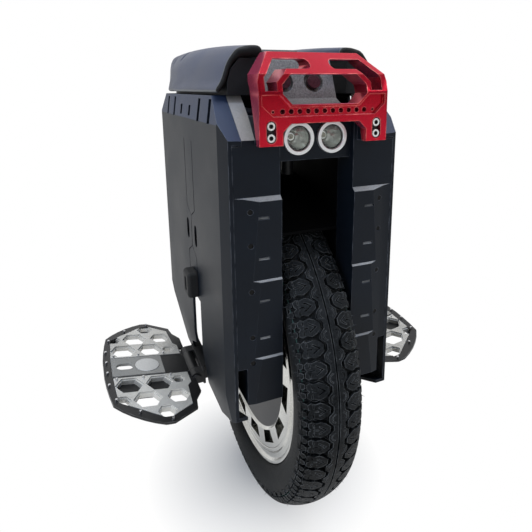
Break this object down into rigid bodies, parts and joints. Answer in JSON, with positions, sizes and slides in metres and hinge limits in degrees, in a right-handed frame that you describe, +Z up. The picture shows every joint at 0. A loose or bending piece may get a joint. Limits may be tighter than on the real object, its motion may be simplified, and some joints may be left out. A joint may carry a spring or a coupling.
{
  "type": "electric unicycle",
  "caption": "Tall self-balancing electric unicycle: block-tread wheel between faceted side shells, folding honeycomb pedals, saddle pads, twin headlamps and a milled red lift handle.",
  "frame": {"origin": "where the tyre meets the ground, under the middle of the wheel", "axes": "+Z up, -Y towards the front with the headlamps, +X to the right as seen from the front, along the axle"},
  "size_m": [0.4956, 0.496, 0.6904],
  "materials": {
    "shell_black": "fine-grained satin black moulding",
    "frame_metal": "black powder coat",
    "handle_red": "milled and anodised red",
    "steel": "machined",
    "bezel_silver": "satin turned ring",
    "reflector": "bright metallised bowl",
    "lens": "clear",
    "emitter": "yellow phosphor",
    "console_grey": "coarse grain, dark grey",
    "rubber_black": "moulded rubber",
    "port_brass": "contact pins in a socket",
    "button_black": "gloss black",
    "seat_leather": "black artificial leather over foam",
    "tube_metal": "drawn tube and extruded fins",
    "trim_black": "black moulding",
    "battery_wrap": "shrink wrap",
    "board_green": "solder mask",
    "tail_red": "red lamp lens",
    "stator_iron": "laminated core",
    "wheel_silver": "cast and machined",
    "tyre": "block tread",
    "pedal_black": "black anodised, milled",
    "pedal_silver": "milled honeycomb, bright",
    "badge": "plain printed disc"
  },
  "bodies": {
    "chassis": {"side_panel_left": "shell_black", "side_panel_right": "shell_black", "front_column_left": "shell_black", "front_column_right": "shell_black", "rear_column_left": "shell_black", "rear_column_right": "shell_black", "front_bridge": "shell_black", "rear_bridge": "shell_black", "top_deck": "shell_black", "wheel_arch": "frame_metal", "pedal_hanger_left": "frame_metal", "pedal_hanger_right": "frame_metal", "lift_handle": "handle_red", "handle_screws": "steel", "column_screws": "steel", "axle": "steel", "hinge_pins": "steel", "headlamp_bezel_left": "bezel_silver", "headlamp_bezel_right": "bezel_silver", "headlamp_reflector_left": "reflector", "headlamp_reflector_right": "reflector", "headlamp_lens_left": "lens", "headlamp_lens_right": "lens", "headlamp_leds": "emitter", "console": "console_grey", "bumper_left": "rubber_black", "bumper_right": "rubber_black", "charge_ports": "port_brass", "seat_pad_left": "seat_leather", "seat_pad_right": "seat_leather", "heat_sink": "tube_metal", "trolley_sleeves": "trim_black", "battery_pack_left": "battery_wrap", "battery_pack_right": "battery_wrap", "controller_board": "board_green", "tail_lamp": "tail_red", "motor_stator": "stator_iron"},
    "wheel": {"tyre": "tyre", "rim": "wheel_silver", "motor_cover_left": "wheel_silver", "motor_cover_right": "wheel_silver", "wheel_bearing_left": "steel", "wheel_bearing_right": "steel"},
    "trolley": {"trolley_grip": "trim_black", "trolley_tubes": "tube_metal"},
    "button": {"power_button": "button_black"},
    "cap_left": {"charge_cap_left": "rubber_black"},
    "cap_right": {"charge_cap_right": "rubber_black"},
    "pedal_left": {"pedal_frame_left": "pedal_black", "pedal_plate_front_left": "pedal_silver", "pedal_plate_rear_left": "pedal_silver", "pedal_middle_left": "pedal_black", "pedal_badge_left": "badge", "pedal_pins_left": "steel"},
    "pedal_right": {"pedal_frame_right": "pedal_black", "pedal_plate_front_right": "pedal_silver", "pedal_plate_rear_right": "pedal_silver", "pedal_middle_right": "pedal_black", "pedal_badge_right": "badge", "pedal_pins_right": "steel"}
  },
  "joints": [
    {"name": "wheel_spin", "type": "hinge", "parent": "chassis", "child": "wheel", "pos_m": [0, 0, 0.248], "axis": [1, 0, 0], "continuous": true},
    {"name": "pedal_left_fold", "type": "hinge", "parent": "chassis", "child": "pedal_left", "pos_m": [-0.121, 0, 0.2145], "axis": [0, 1, 0], "range_deg": [0, 75]},
    {"name": "pedal_right_fold", "type": "hinge", "parent": "chassis", "child": "pedal_right", "pos_m": [0.121, 0, 0.2145], "axis": [0, -1, 0], "range_deg": [0, 75]},
    {"name": "trolley_slide", "type": "slide", "parent": "chassis", "child": "trolley", "axis": [0, 0, 1], "range_m": [0, 0.085]},
    {"name": "power_press", "type": "slide", "parent": "chassis", "child": "button", "axis": [0, 0, -1], "range_m": [0, 0.002], "stiffness_N_per_m": 300},
    {"name": "cap_left_pull", "type": "slide", "parent": "chassis", "child": "cap_left", "axis": [0, -0.9273, 0.3743], "range_m": [0, 0.008]},
    {"name": "cap_right_pull", "type": "slide", "parent": "chassis", "child": "cap_right", "axis": [0, -0.9273, 0.3743], "range_m": [0, 0.008]}
  ]
}
